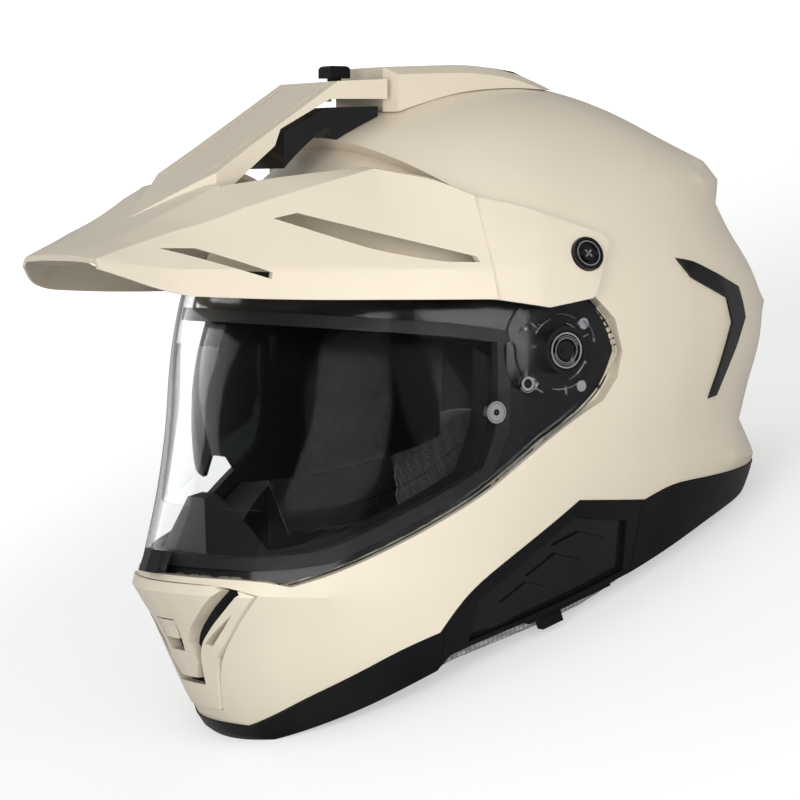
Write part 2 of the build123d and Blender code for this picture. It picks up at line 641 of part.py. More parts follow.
pieces["pivot_base_right"] = mirrored(pieces["pivot_base_left"])
pieces["base_screws"] = Compound([screw.solid() for screw in screws]
                                 + [mirrored(screw).solid() for screw in screws])
hub = pinX(middle, pivotRadius, -recessDepth + frameLift + fitGap * 2, -shieldSink + fitGap)
hub = hub + pinX(middle, capRadius, -shieldSink + fitGap * 2, -shieldSink + fitGap * 2 + capWall)
hub = hub + pinX(middle, pivotRadius, -shieldSink, -shieldSink + fitGap * 2 + capWall)
hub = hub - pinX(middle, pivotRadius / 2, -shieldSink, over)
pieces["pivot_cap_left"] = hub
pieces["pivot_cap_right"] = mirrored(hub)
gasketSkin = hull(inner - 2 * fitGap) - hull(inner - 2 * fitGap - gasketWall)
gasket = gasketSkin & sidePrism(eyeportShares, grow=-fitGap, corner=eyeCorner)
gasket = gasket - sidePrism(eyeportShares, grow=-fitGap - gasketWidth)
for step in range(steps + 1):
    arc = Rot(X=-shieldTravel * step / steps) * pinX(guidePlaceShare, guideRadius + runGap, -over, over)
    gasket = gasket - arc - mirrored(arc)
pieces["eyeport_gasket"] = biggest(gasket)

# Foam inside the shell, open to the head, the face and the neck
linerOut = -(shellWall + recessDepth + fitGap)
linerIn = linerOut - linerWall
neckMiddle = (neckFrontShare + neckRearShare) / 2 * headReach
neckReach = (neckRearShare - neckFrontShare) / 2 * headReach


def neckBore(grow=0.0):
    # the neck opening, run down through the rim
    points = []
    for step in range(skinPoints):
        turn = 2 * pi * step / skinPoints
        points.append(((neckHalf + grow) * sin(turn),
                       neckMiddle - (neckReach + grow) * cos(turn), 0))
    return extrude(make_face(Spline(points, periodic=True)), amount=span, dir=(0, 0, -1))


neckHole = neckBore()


def revolved(shares, low, high):
    # a profile of (x, radius) turned about the sun visor's axis, degrees below and above level
    axisY, axisZ = at(visorAxisShare)
    ring = shares + [(-x, r) for x, r in shares[::-1] if x > 0]
    face = make_face(Polyline([(x * eyeHalf, axisY - r * headReach, axisZ) for x, r in ring],
                              close=True))
    turning = Axis((0, axisY, axisZ), (1, 0, 0))
    return revolve(face.rotate(turning, -high), axis=turning, revolution_arc=low + high)


liner = hull(linerOut) - hull(linerIn)
liner = liner - neckHole
liner = liner - sidePrism(eyeportShares, grow=fitGap)
liner = liner - revolved(visorPocketShares, pocketLow, pocketHigh)
armY, armZ = at(visorAxisShare)
armLow, armHigh = visorPocketShares[8][0] * eyeHalf, visorPocketShares[9][0] * eyeHalf
for x0, x1 in ((armLow, armHigh), (-armHigh, -armLow)):
    liner = liner - (Plane(origin=(x0, armY, armZ), x_dir=(0, 1, 0), z_dir=(1, 0, 0))
                     * Cylinder(discRadius, x1 - x0, align=(Align.CENTER, Align.CENTER, Align.MIN)))
liner = liner & aboveRim(trimLip)
chinSplit = chinSplitShare * headReach
rollRoom = aboveRim() - aboveRim(trimLip + neckRollRise + fitGap)
rollRoom = rollRoom & block(-span, span, chinSplit, span, -span, span)
chinBlock = block(-span, span, -span, chinSplit, -span, chinTopShare * headRise)
pieces["chin_bar_liner"] = biggest(liner & chinBlock)
main = liner - (Pos(0, fitGap, 0) * chinBlock) - rollRoom
pieces["impact_liner"] = biggest(main)
roll = (hull(-trimWall - fitGap) - neckHole) & aboveRim(trimLip)
roll = roll - aboveRim(trimLip + neckRollRise)
roll = roll & block(-span, span, chinSplit + fitGap, span, -span, span)
pieces["neck_roll"] = biggest(roll)

# Pads: channelled crown pad, cheek pads that crown inward, each with a slot for the strap
padSkin = hull(linerIn - fitGap) - hull(linerIn - fitGap - padWall)
crownFloor = crownFloorShare * headRise
crown = padSkin & block(-span, span, -span, span, crownFloor, span)
grooves = hull(linerIn - fitGap - padWall + channelDepth)
for x in channelShares:
    middleX = x * eyeHalf
    crown = crown - (block(middleX - channelWidth / 2, middleX + channelWidth / 2, -span, span,
                           0, span) & grooves)
pieces["crown_pad"] = biggest(crown)


def cheekSection(x, draw):
    # the side outline at X = x, drawn in about its middle
    points = [at(share) for share in cheekShares]
    midY = sum(y for y, z in points) / len(points)
    midZ = sum(z for y, z in points) / len(points)
    return Wire(Polyline([(x, midY + (y - midY) * draw, midZ + (z - midZ) * draw)
                          for y, z in points], close=True))


cheek = Solid.make_loft([cheekSection(x, draw) for x, draw in
                         zip((cheekInner, cheekMiddle, cheekOuter), cheekDrawShares)])
cheek = cheek & hull(linerIn - fitGap)
cheek = cheek - (rollRoom - neckBore(-fitGap))
strapRear = strapRearShare * headReach
strapLine = [(x * eyeHalf, z * headRise) for x, z in strapPathShares]


def strapAt(wall, width):
    line = Polyline([(x, 0, z) for x, z in strapLine])
    middleY = strapRear
    ribbon = offset(line, amount=wall / 2, side=Side.BOTH, kind=Kind.INTERSECTION)
    face = make_face(ribbon)
    return Pos(0, middleY + width / 2, 0) * extrude(face, amount=width, dir=(0, -1, 0))


strap = strapAt(strapWall, strapWidth)
cheek = cheek - strapAt(strapWall + 2 * runGap, strapWidth + 2 * runGap)
pieces["cheek_pad_left"] = biggest(cheek)
pieces["cheek_pad_right"] = mirrored(pieces["cheek_pad_left"])
pieces["chin_strap_left"] = biggest(strap)
pieces["chin_strap_right"] = mirrored(pieces["chin_strap_left"])

# Sun visor
lens = revolved(visorProfileShares, visorLow, visorHigh)
thin = 1 - visorWall / (visorProfileShares[-1][0] * eyeHalf)
shallow = 1 - visorWall / (visorProfileShares[0][1] * headReach)
lens = lens - revolved([(x * thin, r * shallow) for x, r in visorProfileShares],
                       visorLow + visorSpill, visorHigh + visorSpill)
lens = lens & sidePrism(visorOutlineShares, corner=visorRound)
nose = make_face(Polyline([(x * eyeHalf, 0, z * headRise) for x, z in visorNoseShares], close=True))
lens = lens - extrude(nose, amount=span, dir=(0, -1, 0))
axisY, axisZ = armY, armZ
pin = Plane(origin=(0, axisY, axisZ), x_dir=(0, 1, 0), z_dir=(1, 0, 0)) * Cylinder(visorPin + fitGap, span)
lens = lens - pin
pieces["sun_visor"] = biggest(lens)
stub = Pos((armLow + armHigh) / 2, axisY, axisZ) * Rot(Y=90) * Cylinder(
    visorPin, armHigh - armLow - 2 * fitGap)
pieces["sun_visor_pivots"] = Compound([stub.solid(), mirrored(stub).solid()])

# Breath deflector over the chin bar, and the cloth curtain under the chin
guard = sidePrism(noseGuardShares, start=-noseGuardHalf, end=noseGuardHalf)
top = noseGuardShares[1][1] * headRise
low = noseGuardShares[0][1] * headRise
front = make_face(Polyline([(-noseGuardHalf, 0, low - over), (noseGuardHalf, 0, low - over),
                            (noseGuardHalf, 0, low), (noseGuardTip, 0, top + noseGuardNotch),
                            (-noseGuardTip, 0, top + noseGuardNotch), (-noseGuardHalf, 0, low)],
                           close=True))
guard = guard & extrude(front, amount=span, dir=(0, -1, 0))
guard = guard & hull(inner - gasketWall - fitGap * 3)
pieces["breath_deflector"] = biggest(guard)
curtain = rimBand(curtainRise, curtainRise + curtainWall, curtainShares)
pieces["chin_curtain"] = biggest(curtain & neckBore(-fitGap))

# Chin vent: a nose and a frame of two blades in one hole, mesh behind, a button that slides
def frontPrism(shares, grow=0.0):
    # a front outline, given for the left half, run back through the chin bar
    ring = shares + [(-x, z) for x, z in shares[::-1]]
    face = make_face(Polyline([(x * eyeHalf, -eyeHalf / 2, z * headRise) for x, z in ring],
                              close=True))
    if grow:
        face = offset(face, amount=grow, kind=Kind.INTERSECTION)
    return extrude(face, amount=span, dir=(0, -1, 0))


chinSkin = hull(chinProud) - hull(-chinWall)
chinFrame = chinSkin & frontPrism(chinHoleShares)
chinFrame = chinFrame - frontPrism(chinOpenShares)
slotFace = make_face(Polyline([(x * eyeHalf, 0, z * headRise) for x, z in chinSlotShares],
                              close=True))
slot = extrude(slotFace, amount=span, dir=(0, -1, 0))
chinFrame = chinFrame - slot - mirrored(slot)
pieces["chin_vent_frame"] = biggest(chinFrame)
buttonDrop = Vector(0, ventPathShare[0], ventPathShare[1]).normalized() * ventTravel
button = frontPrism(chinButtonShares)
buttonRoom = frontPrism(chinButtonShares, grow=fitGap * 2)
noseSkin = chinSkin & frontPrism(chinNoseShares) & frontPrism(chinHoleShares)
nosePanel = noseSkin - buttonRoom - (Pos(buttonDrop) * buttonRoom) - (Pos(buttonDrop / 2) * buttonRoom)
pieces["chin_vent_panel"] = biggest(nosePanel)
pieces["chin_vent_slider"] = biggest(noseSkin & button)
meshSkin = hull(-chinWall - fitGap) - hull(-chinWall - fitGap - meshWall)
pieces["chin_vent_mesh"] = biggest(meshSkin & frontPrism(chinHoleShares, grow=-fitGap))
chinHole = frontPrism(chinHoleShares, grow=fitGap)

# Grey piping under the neck roll, sun visor lever on its track, strap hardware
piping = rimBand(-pipingDrop, trimLip - fitGap, pipingShares) & hull(-trimWall - fitGap)
piping = piping - hull(-trimWall - fitGap - pipingWall)
pieces["neck_piping"] = biggest(piping, 2)
leverX, leverY, leverZ = (leverShare[0] * eyeHalf, leverShare[1] * headReach,
                          leverShare[2] * headRise)
along = Plane(origin=(leverX, leverY, leverZ), x_dir=(1, 0, 0),
              z_dir=(0, -sin(radians(leverSlope)), cos(radians(leverSlope))))
trackLength = leverTravel + leverLength * 2
under = (Align.CENTER, Align.CENTER, Align.MAX)
track = along * (Pos(0, leverTravel / 2, 0) * Box(leverWidth, trackLength, trackWall, align=under))
lever = along * (Pos(0, 0, -trackWall - fitGap)
                 * Box(leverWidth, leverLength, leverHeight, align=under))
pieces["sun_visor_track"] = track
pieces["sun_visor_lever"] = lever


def ringAt(z):
    half, corner = ringWidth / 2, ringCorner
    x1 = strapLine[-1][0]
    x0 = x1 - ringLength
    middleY = strapRear
    path = FilletPolyline([(x1, middleY - half, z), (x0, middleY - half, z),
                           (x0, middleY + half, z), (x1, middleY + half, z)], radius=corner,
                          close=True)
    start = path.location_at(0.0)
    return sweep(Plane(start.position, z_dir=path.tangent_at(0.0)) * Circle(ringWire), path=path)


ringHigh = strapLine[-1][1]
ringLow = ringHigh - ringWire * 2 - ringClear
pieces["d_ring_upper"] = ringAt(ringHigh)
pieces["d_ring_lower"] = ringAt(ringLow)

# Strap ends: a loop that holds the ring bars, rivets through the foam, and a snap
loopX, loopZ = strapLine[-1]
loop = block(loopX - loopHalf, loopX + loopHalf, strapRear - strapWidth / 2 + runGap,
             strapRear + strapWidth / 2 - runGap, ringLow - loopHalf, ringHigh + loopHalf)
for z in (ringHigh, ringLow):
    bore = Pos(loopX, strapRear, z) * Rot(X=90) * Cylinder(ringWire + fitGap, strapWidth * 2)
    loop = loop - bore
    pieces["chin_strap_left"] = pieces["chin_strap_left"] - bore
looped = pieces["chin_strap_left"] + loop
rivetX = skinX(strapRear, rivetShare * headRise)
rivetPlace = (strapRear / headReach, rivetShare)
headX = strapLine[0][0] - strapWall - fitGap - rivetWall - rivetX
rivetBore = pinX(rivetPlace, rivetShank + fitGap, -rivetReach, 0)
rivetRoom = pinX(rivetPlace, rivetRadius + fitGap, headX - fitGap, 0)
pieces["cheek_pad_left"] = biggest(pieces["cheek_pad_left"] - rivetRoom)
pieces["cheek_pad_right"] = mirrored(pieces["cheek_pad_left"])
pieces["chin_strap_left"] = biggest(looped - rivetBore)
pieces["chin_strap_right"] = biggest(pieces["chin_strap_right"] - mirrored(rivetBore))
rivet = pinX(rivetPlace, rivetRadius, headX, headX + rivetWall)
rivet = rivet + pinX(rivetPlace, rivetShank, headX, -trimWall - rivetStop)
pieces["chin_strap_rivets"] = Compound([rivet.solid(), mirrored(rivet).solid()])
pieces["impact_liner"] = biggest(pieces["impact_liner"] - rivetBore - mirrored(rivetBore))
endX, endZ = strapLine[-1]
pieces["strap_snap"] = Pos(-endX - snapRadius, strapRear, endZ - strapWall / 2 - fitGap) * Cylinder(
    snapRadius, snapWall, align=(Align.CENTER, Align.CENTER, Align.MAX))

# Openings of the shell that other pieces sit in
shell = shell - belowTrim - chinHole
exhaustRoom = sidePrism(sideExhaustShares, grow=fitGap, start=0, end=span)
exhaustRoom = exhaustRoom - hull(-exhaustDepth - fitGap)
rearRoom = rearPrism - hull(-exhaustDepth - fitGap)
shell = shell - exhaustRoom - mirrored(exhaustRoom) - rearRoom
shell = shell - shellBores - mirrored(shellBores)
pieces["outer_shell"] = biggest(shell)


# Stand the helmet on its rim, with the middle of its length at Y = 0
leaned = {name: Rot(X=-rimPitch) * piece for name, piece in pieces.items()}
box = Compound([one for piece in leaned.values() for one in solids(piece)]).bounding_box()
shiftY = -(box.min.Y + box.max.Y) / 2
shiftZ = -box.min.Z
print("shift", shiftY, shiftZ, "size", box.size)
os.makedirs("parts", exist_ok=True)
for name, piece in leaned.items():
    export_step(Pos(0, shiftY, shiftZ) * Compound(solids(piece)), "parts/" + name + ".step")
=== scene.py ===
import bpy
import bmesh
import json
from math import radians, sin, cos
from mathutils import Matrix, Vector


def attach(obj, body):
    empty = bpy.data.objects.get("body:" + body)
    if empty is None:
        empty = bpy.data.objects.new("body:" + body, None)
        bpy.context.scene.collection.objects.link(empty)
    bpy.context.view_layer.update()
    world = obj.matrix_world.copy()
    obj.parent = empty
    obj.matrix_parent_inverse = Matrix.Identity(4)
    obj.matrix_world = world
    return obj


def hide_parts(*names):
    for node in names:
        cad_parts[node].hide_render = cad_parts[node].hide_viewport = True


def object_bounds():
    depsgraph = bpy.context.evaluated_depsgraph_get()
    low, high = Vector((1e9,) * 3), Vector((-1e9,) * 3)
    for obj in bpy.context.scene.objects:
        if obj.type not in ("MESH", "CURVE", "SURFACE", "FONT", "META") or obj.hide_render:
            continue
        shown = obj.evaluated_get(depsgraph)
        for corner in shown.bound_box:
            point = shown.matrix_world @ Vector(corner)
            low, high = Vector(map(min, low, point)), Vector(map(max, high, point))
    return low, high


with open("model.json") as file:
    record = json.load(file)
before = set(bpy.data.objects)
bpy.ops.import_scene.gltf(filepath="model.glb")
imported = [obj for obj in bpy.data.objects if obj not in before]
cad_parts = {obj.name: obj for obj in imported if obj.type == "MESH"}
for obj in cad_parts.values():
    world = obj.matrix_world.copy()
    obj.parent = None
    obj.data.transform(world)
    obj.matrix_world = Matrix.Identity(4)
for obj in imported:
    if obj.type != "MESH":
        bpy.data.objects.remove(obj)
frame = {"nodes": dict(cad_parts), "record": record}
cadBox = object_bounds()
scene = bpy.context.scene
nodes = frame["nodes"]
print("frame loaded:", len(nodes), "nodes")

# the worn frame, in which the helmet is level, leans back to stand on its rim
worn = {"lean": 24.0, "shift": (7.501, 126.209)}
perMetre = 1000  # millimetres


def fromWorn(x, y, z):
    # millimetres in the worn frame to metres in the row frame
    lean = radians(worn["lean"])
    along = y * cos(lean) + z * sin(lean)
    up = -y * sin(lean) + z * cos(lean)
    return Vector((x / perMetre, (along + worn["shift"][0]) / perMetre,
                   (up + worn["shift"][1]) / perMetre))


def turnWorn(v):
    lean = radians(worn["lean"])
    return Vector((v.x, v.y * cos(lean) + v.z * sin(lean), -v.y * sin(lean) + v.z * cos(lean)))


# camera: fitted to the photo's left and right features
camera = {"azimuth": 60.0, "elevation": 3.0, "distance": 1.8, "lens": 164.4, "sensor": 36.0,
          "aim": (-5.3, -12.2, -28.7)}
swing, rise = radians(camera["azimuth"]), radians(camera["elevation"])
back = turnWorn(Vector((sin(swing) * cos(rise), -cos(swing) * cos(rise), sin(rise))))
across = turnWorn(Vector((cos(swing), sin(swing), 0)))
upward = turnWorn(Vector((-sin(swing) * sin(rise), cos(swing) * sin(rise), cos(rise))))
cameraData = bpy.data.cameras.new("photoCamera")
cameraData.lens = camera["lens"]
cameraData.sensor_width = camera["sensor"]
cameraObject = bpy.data.objects.new("photoCamera", cameraData)
scene.collection.objects.link(cameraObject)
place = fromWorn(*camera["aim"]) + back * camera["distance"]
cameraObject.matrix_world = Matrix((
    (across.x, upward.x, back.x, place.x),
    (across.y, upward.y, back.y, place.y),
    (across.z, upward.z, back.z, place.z),
    (0, 0, 0, 1)))
scene.camera = cameraObject
print("camera set")


# materials
def newMaterial(name):
    material = bpy.data.materials.new(name)
    material.use_nodes = True
    tree = material.node_tree
    return material, tree, tree.nodes["Principled BSDF"]


def objectNoise(tree, scale, detail=3.0, roughness=0.5):
    coords = tree.nodes.new("ShaderNodeTexCoord")
    noise = tree.nodes.new("ShaderNodeTexNoise")
    noise.inputs["Scale"].default_value = scale
    noise.inputs["Detail"].default_value = detail
    noise.inputs["Roughness"].default_value = roughness
    tree.links.new(coords.outputs["Object"], noise.inputs["Vector"])
    return noise


def ramp(tree, source, low, high, start=0.35, end=0.65):
    node = tree.nodes.new("ShaderNodeValToRGB")
    node.color_ramp.elements[0].position = start
    node.color_ramp.elements[1].position = end
    node.color_ramp.elements[0].color = (*low, 1)
    node.color_ramp.elements[1].color = (*high, 1)
    tree.links.new(source, node.inputs["Fac"])
    return node


def bump(tree, shader, height, strength, distance):
    node = tree.nodes.new("ShaderNodeBump")
    node.inputs["Strength"].default_value = strength
    node.inputs["Distance"].default_value = distance
    tree.links.new(height, node.inputs["Height"])
    tree.links.new(node.outputs["Normal"], shader.inputs["Normal"])


def toned(tree, shader, noise, look):
    tone = ramp(tree, noise.outputs["Fac"], look["deep"], look["pale"])
    tree.links.new(tone.outputs["Color"], shader.inputs["Base Color"])


def roughened(tree, shader, noise, look):
    low, high = look["rough"]
    rough = ramp(tree, noise.outputs["Fac"], (low,) * 3, (high,) * 3)
    tree.links.new(rough.outputs["Color"], shader.inputs["Roughness"])


# noise scales in cells per metre, bump depths in metres
textures = {
    "paintDrift": 6.0, "paintFlake": 2600.0, "flakeDetail": 1.0, "flakeBump": 0.10,
    "flakeDepth": 0.00004,
    "mouldDrift": 18.0, "grainDetail": 2.0, "grainDepth": 0.00008,
    "haze": 9.0,
    "metalDrift": 60.0, "brushed": 900.0, "brushedBump": 0.15, "brushedDepth": 0.00005,
    "cellStart": 0.15, "cellEnd": 0.6, "knitDepth": 0.0004,
}


def satinPaint(name, look):
    # satin paint: slow drift of tone, fine flake, a thin coat
    material, tree, shader = newMaterial(name)
    toned(tree, shader, objectNoise(tree, textures["paintDrift"]), look)
    flake = objectNoise(tree, textures["paintFlake"], textures["flakeDetail"])
    roughened(tree, shader, flake, look)
    bump(tree, shader, flake.outputs["Fac"], textures["flakeBump"], textures["flakeDepth"])
    shader.inputs["Metallic"].default_value = look["metallic"]
    shader.inputs["Coat Weight"].default_value = look["coat"]
    shader.inputs["Coat Roughness"].default_value = look["coatRough"]
    return material


def moulded(name, look):
    # moulded plastic: pebble grain and rubbed patches
    material, tree, shader = newMaterial(name)
    drift = objectNoise(tree, textures["mouldDrift"])
    toned(tree, shader, drift, look)
    roughened(tree, shader, drift, look)
    grain = objectNoise(tree, look["grain"], textures["grainDetail"])
    bump(tree, shader, grain.outputs["Fac"], look["bump"], textures["grainDepth"])
    shader.inputs["Specular IOR Level"].default_value = look["shine"]
    return material


def clearPlastic(name, look):
    material, tree, shader = newMaterial(name)
    haze = objectNoise(tree, textures["haze"])
    toned(tree, shader, haze, look)
    roughened(tree, shader, haze, look)
    shader.inputs["Transmission Weight"].default_value = 1.0
    shader.inputs["IOR"].default_value = look["ior"]
    return material


def metal(name, look):
    material, tree, shader = newMaterial(name)
    drift = objectNoise(tree, textures["metalDrift"])
    toned(tree, shader, drift, look)
    roughened(tree, shader, drift, look)
    shader.inputs["Metallic"].default_value = 1.0
    brushed = objectNoise(tree, textures["brushed"])
    bump(tree, shader, brushed.outputs["Fac"], textures["brushedBump"], textures["brushedDepth"])
    return material


def fabric(name, look):
    # knit lining: small cells in rows, soft sheen
    material, tree, shader = newMaterial(name)
    coords = tree.nodes.new("ShaderNodeTexCoord")
    cells = tree.nodes.new("ShaderNodeTexVoronoi")
    cells.inputs["Scale"].default_value = look["cells"]
    cells.inputs["Randomness"].default_value = look["random"]
    tree.links.new(coords.outputs["Object"], cells.inputs["Vector"])
    tone = ramp(tree, cells.outputs["Distance"], look["pale"], look["deep"],
                textures["cellStart"], textures["cellEnd"])
    tree.links.new(tone.outputs["Color"], shader.inputs["Base Color"])
    bump(tree, shader, cells.outputs["Distance"], look["bump"], textures["knitDepth"])
    shader.inputs["Roughness"].default_value = look["rough"]
    shader.inputs["Sheen Weight"].default_value = look["sheen"]
    return material


looks = {
    "shell_paint": satinPaint("sandPaint", {
        "deep": (0.665, 0.59, 0.47), "pale": (0.725, 0.65, 0.525), "rough": (0.33, 0.42),
        "metallic": 0.14, "coat": 0.25, "coatRough": 0.28}),
    "trim_black": moulded("satinBlack", {
        "deep": (0.004, 0.004, 0.005), "pale": (0.008, 0.008, 0.009), "rough": (0.30, 0.40),
        "grain": 1400.0, "bump": 0.25, "shine": 0.12}),
    "gloss_black": moulded("glossBlack", {
        "deep": (0.004, 0.004, 0.005), "pale": (0.008, 0.008, 0.009), "rough": (0.10, 0.18),
        "grain": 300.0, "bump": 0.03, "shine": 0.3}),
    "clear_shield": clearPlastic("clearShield", {
        "deep": (0.97, 0.975, 0.975), "pale": (0.985, 0.99, 0.99), "rough": (0.0, 0.015),
        "ior": 1.09}),
    "smoke_visor": clearPlastic("smokeVisor", {
        "deep": (0.006, 0.008, 0.007), "pale": (0.010, 0.013, 0.012), "rough": (0.0, 0.02),
        "ior": 1.09}),
    "steel": metal("platedSteel", {
        "deep": (0.50, 0.51, 0.53), "pale": (0.66, 0.67, 0.69), "rough": (0.20, 0.32)}),
    "foam": moulded("darkFoam", {
        "deep": (0.008, 0.008, 0.009), "pale": (0.016, 0.016, 0.018), "rough": (0.80, 0.92),
        "grain": 320.0, "bump": 0.8, "shine": 0.2}),
    "lining": fabric("knitLining", {
        "deep": (0.006, 0.006, 0.007), "pale": (0.028, 0.029, 0.032), "cells": 520.0,
        "random": 0.25, "bump": 0.8, "rough": 0.85, "sheen": 0.3}),
    "piping_grey": fabric("greyPiping", {
        "deep": (0.20, 0.21, 0.22), "pale": (0.52, 0.54, 0.56), "cells": 420.0,
        "random": 0.15, "bump": 0.9, "rough": 0.6, "sheen": 0.2}),
    "rubber_black": moulded("softRubber", {
        "deep": (0.005, 0.005, 0.005), "pale": (0.010, 0.010, 0.010), "rough": (0.50, 0.65),
        "grain": 900.0, "bump": 0.3, "shine": 0.25}),
}
print("materials made:", len(looks))

slotOf = {part["node"]: part["material_slot"] for part in frame["record"]["subparts"]}
for name, node in nodes.items():
    node.data.materials.clear()
    node.data.materials.append(looks[slotOf[name]])
print("CAD nodes painted")


# shaped pieces
def linked(name, data):
    piece = bpy.data.objects.new(name, data)
    scene.collection.objects.link(piece)
    return piece


def meshPiece(name, mesh):
    data = bpy.data.meshes.new(name)
    mesh.to_mesh(data)
    mesh.free()
    return linked(name, data)


def finished(piece, slotName, body, *stoodFor):
    piece.data.materials.clear()
    piece.data.materials.append(looks[slotName])
    for face in piece.data.polygons:
        face.use_smooth = True
    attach(piece, body)
    if stoodFor:
        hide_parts(*stoodFor)
    return piece


def cadCopy(name, node, weld=0.00002):
    data = nodes[node].data.copy()
    data.name = name
    mesh = bmesh.new()
    mesh.from_mesh(data)
    bmesh.ops.remove_doubles(mesh, verts=mesh.verts, dist=weld)
    bmesh.ops.dissolve_degenerate(mesh, dist=weld, edges=mesh.edges)
    mesh.to_mesh(data)
    mesh.free()
    return linked(name, data)


def baked(piece):
    # the piece's mesh with its modifiers applied
    graph = bpy.context.evaluated_depsgraph_get()
    data = bpy.data.meshes.new_from_object(piece.evaluated_get(graph))
    piece.modifiers.clear()
    piece.data = data
    return piece


def relaxed(mesh, verts):
    bmesh.ops.smooth_vert(mesh, verts=verts, factor=0.5, use_axis_x=True, use_axis_y=True,
                          use_axis_z=True)


flatAngle = 0.4  # facets that part by less, in degrees, count as one plane


def eased(piece, look):
    # a finer mesh over the CAD facets, smoothed between the edges that stay crisp
    mesh = bmesh.new()
    mesh.from_mesh(piece.data)
    bmesh.ops.dissolve_limit(mesh, angle_limit=radians(flatAngle), verts=mesh.verts,
                             edges=mesh.edges)
    bmesh.ops.triangulate(mesh, faces=mesh.faces)
    for step in range(look["passes"]):
        longEdges = [edge for edge in mesh.edges if edge.calc_length() > look["cell"]]
        if not longEdges:
            break
        bmesh.ops.subdivide_edges(mesh, edges=longEdges, cuts=1)
        bmesh.ops.triangulate(mesh, faces=[face for face in mesh.faces if len(face.verts) > 3])
    mesh.normal_update()
    crisp = {edge for edge in mesh.edges
             if not edge.is_manifold or edge.calc_face_angle(0) > radians(look["crisp"])}
    held = {vertex for edge in crisp for vertex in edge.verts}
    free = [vertex for vertex in mesh.verts if vertex not in held]
    rails = {}
    for vertex in held:
        near = [edge.other_vert(vertex) for edge in vertex.link_edges if edge in crisp]
        if len(near) == 2:
            first, second = near[0].co - vertex.co, vertex.co - near[1].co
            if first.length and second.length and first.angle(second) < radians(look["corner"]):
                rails[vertex] = near
    for step in range(look["rounds"]):
        moved = {vertex: (vertex.co + (near[0].co + near[1].co) / 2) / 2
                 for vertex, near in rails.items()}
        for vertex, spot in moved.items():
            vertex.co = spot
        relaxed(mesh, free)
    for edge in mesh.edges:
        edge.smooth = edge not in crisp
    mesh.to_mesh(piece.data)
    mesh.free()
    return piece


def camelName(node):
    first, *rest = node.split("_")
    return first + "".join(word.capitalize() for word in rest)


# rigid pieces whose CAD facets are eased into curved skins
easing = {
    "shell": {"cell": 0.006, "passes": 5, "crisp": 22.0, "corner": 40.0, "rounds": 14, "nodes": [
        "outer_shell", "crown_fairing", "front_lower_trim", "rear_lower_trim", "side_trim_left",
        "side_trim_right", "rear_exhaust"]},
    "clear": {"cell": 0.006, "passes": 5, "crisp": 30.0, "corner": 40.0, "rounds": 16, "nodes": [
        "face_shield", "anti_fog_lens", "sun_visor"]},
    "peak": {"cell": 0.005, "passes": 5, "crisp": 17.0, "corner": 30.0, "rounds": 5, "nodes": [
        "peak"]},
    "inner": {"cell": 0.007, "passes": 4, "crisp": 30.0, "corner": 40.0, "rounds": 6, "nodes": [
        "impact_liner", "chin_bar_liner", "eyeport_gasket", "eyeport_frame", "breath_deflector"]},
    "small": {"cell": 0.004, "passes": 4, "crisp": 20.0, "corner": 40.0, "rounds": 4, "nodes": [
        "intercom_cover_left", "intercom_cover_right", "side_exhaust_left", "side_exhaust_right",
        "chin_vent_panel", "chin_vent_frame", "pivot_base_left", "pivot_base_right",
        "crown_vent_intake"]},
}
bodies = frame["record"]["behaviour"]["bodies"]
bodyOf = {node: body for body, held in bodies.items() for node in held}
for group, look in easing.items():
    for node in look["nodes"]:
        piece = eased(cadCopy(camelName(node), node), look)
        finished(piece, slotOf[node], bodyOf[node], node)
    print(group, "pieces eased:", len(look["nodes"]))

# the shell's recess under the shield is black: its side outline, worn frame, millimetres
recessOutline = [(-200, 36), (-110, 36), (-50, 31), (5, 29), (18, 24), (27, 13), (30, -1),
                 (23.5, -17), (10, -28.5), (-12.5, -44), (-35, -64.5), (-56, -78.5),
                 (-77.5, -91.5), (-99, -103), (-114, -108.5), (-125, -106), (-200, -106)]
browStretches, browReach = 3, 8.0  # the outline's first stretches run over open skin


def toWorn(v):
    lean = radians(worn["lean"])
    along = v.y * perMetre - worn["shift"][0]
    up = v.z * perMetre - worn["shift"][1]
    return along * cos(lean) - up * sin(lean), along * sin(lean) + up * cos(lean)


def insideOutline(y, z, outline):
    inside = False
    for (y0, z0), (y1, z1) in zip(outline, outline[1:] + outline[:1]):
        if (z0 > z) != (z1 > z) and y < (y1 - y0) * (z - z0) / (z1 - z0) + y0:
            inside = not inside
    return inside


def ruled(piece, start, end, reach):
    # new edges along one stretch of the outline, so that the colours part on a straight line
    mesh = bmesh.new()
    mesh.from_mesh(piece.data)
    (y0, z0), (y1, z1) = start, end
    near = [face for face in mesh.faces
            if y0 - reach < toWorn(face.calc_center_median())[0] < y1 + reach
            and min(z0, z1) - reach < toWorn(face.calc_center_median())[1] < max(z0, z1) + reach]
    geometry = list({item for face in near for item in (face, *face.edges, *face.verts)})
    bmesh.ops.bisect_plane(mesh, geom=geometry, plane_co=fromWorn(0, y0, z0),
                           plane_no=turnWorn(Vector((0, z0 - z1, y1 - y0))).normalized())
    mesh.to_mesh(piece.data)
    mesh.free()


shellPiece = bpy.data.objects["outerShell"]
for start, end in zip(recessOutline[:browStretches], recessOutline[1:]):
    ruled(shellPiece, start, end, browReach)
shellPiece.data.materials.append(looks["gloss_black"])
for face in shellPiece.data.polygons:
    if insideOutline(*toWorn(face.center), recessOutline):
        face.material_index = 1
print("recess blackened")

swell = {"quality": 4, "frames": 20}


